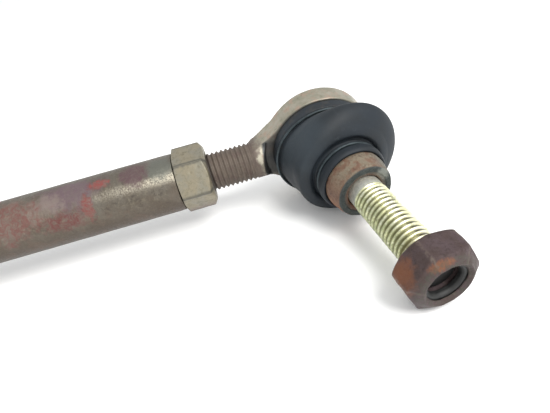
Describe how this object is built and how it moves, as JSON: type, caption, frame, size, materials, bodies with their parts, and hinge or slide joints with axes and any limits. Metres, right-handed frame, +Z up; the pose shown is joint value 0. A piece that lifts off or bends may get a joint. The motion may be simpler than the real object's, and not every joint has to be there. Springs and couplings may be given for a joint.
{
  "type": "tie rod end",
  "caption": "Tie rod end with a threaded ball stud, rubber dust boot, rusty nyloc nut, jam nut and a short length of adjusting tube.",
  "frame": {"origin": "centre of the bounding box in plan, on the surface that the part lies on", "axes": "+X along the rod from the tube to the ball joint, the stud points towards -Y and a little down, +Z up"},
  "size_m": [0.1578, 0.0784, 0.0349],
  "materials": {
    "dull_zinc": "dull grey zinc, slightly stained",
    "shell_polymer": "moulded bearing polymer",
    "spring_steel": "dark oiled spring steel",
    "boot_rubber": "satin blue-black rubber",
    "yellow_zinc": "bright yellow-passivated zinc",
    "rusty_collar": "rusted steel",
    "rusty_nut": "dark purple-brown rust with orange patches",
    "insert_nylon": "dirty nylon",
    "nut_zinc": "khaki-grey zinc with stains",
    "tube_steel": "dull steel with remains of red and maroon paint"
  },
  "bodies": {
    "housing": {"rod_end_housing": "dull_zinc", "bearing_shell_front": "shell_polymer", "bearing_shell_back": "shell_polymer", "preload_washer": "spring_steel", "end_cap": "dull_zinc", "boot_foot_ring": "spring_steel"},
    "boot": {"dust_boot": "boot_rubber"},
    "boot_neck": {"boot_neck_ring": "spring_steel"},
    "stud": {"ball_stud": "yellow_zinc", "stud_collar": "rusty_collar"},
    "nut_insert": {"nylon_insert": "insert_nylon"},
    "nut": {"lock_nut": "rusty_nut"},
    "jam_nut": {"jam_nut": "nut_zinc"},
    "tube": {"rod_tube": "tube_steel"}
  },
  "joints": [
    {"name": "stud_swing", "type": "hinge", "parent": "housing", "child": "boot", "pos_m": [0.05822, 0.02738, 0.01809], "axis": [1, 0, 0], "range_deg": [-11.5, 20.5], "deforming": ["dust_boot"]},
    {"name": "stud_lean", "type": "hinge", "parent": "boot", "child": "boot_neck", "pos_m": [0.05822, 0.02738, 0.01809], "axis": [0, -0.1461, 0.9893], "range_deg": [-23.4, 8.6]},
    {"name": "stud_spin", "type": "hinge", "parent": "boot_neck", "child": "stud", "pos_m": [0.05822, 0.02738, 0.01809], "axis": [0.1288, -0.981, -0.1449], "continuous": true},
    {"name": "nut_travel", "type": "slide", "parent": "stud", "child": "nut_insert", "axis": [0.1288, -0.981, -0.1449], "range_m": [-0.0239, 0.0029], "deforming": ["nylon_insert"]},
    {"name": "nut_turn", "type": "hinge", "parent": "nut_insert", "child": "nut", "pos_m": [0.05822, 0.02738, 0.01809], "axis": [0.1288, -0.981, -0.1449], "range_deg": [-5760, 720]},
    {"name": "length_adjust", "type": "slide", "parent": "housing", "child": "jam_nut", "axis": [-1, 0, 0], "range_m": [-0.0149, 0.0119]},
    {"name": "tube_turn", "type": "hinge", "parent": "jam_nut", "child": "tube", "pos_m": [0.05822, 0.02738, 0.01809], "axis": [-1, 0, 0], "range_deg": [-3600, 2880]}
  ],
  "couplings": [
    {"joint": "nut_turn", "follows": "nut_travel", "rad_per_m": 4188.8},
    {"joint": "tube_turn", "follows": "length_adjust", "rad_per_m": 4188.8}
  ]
}
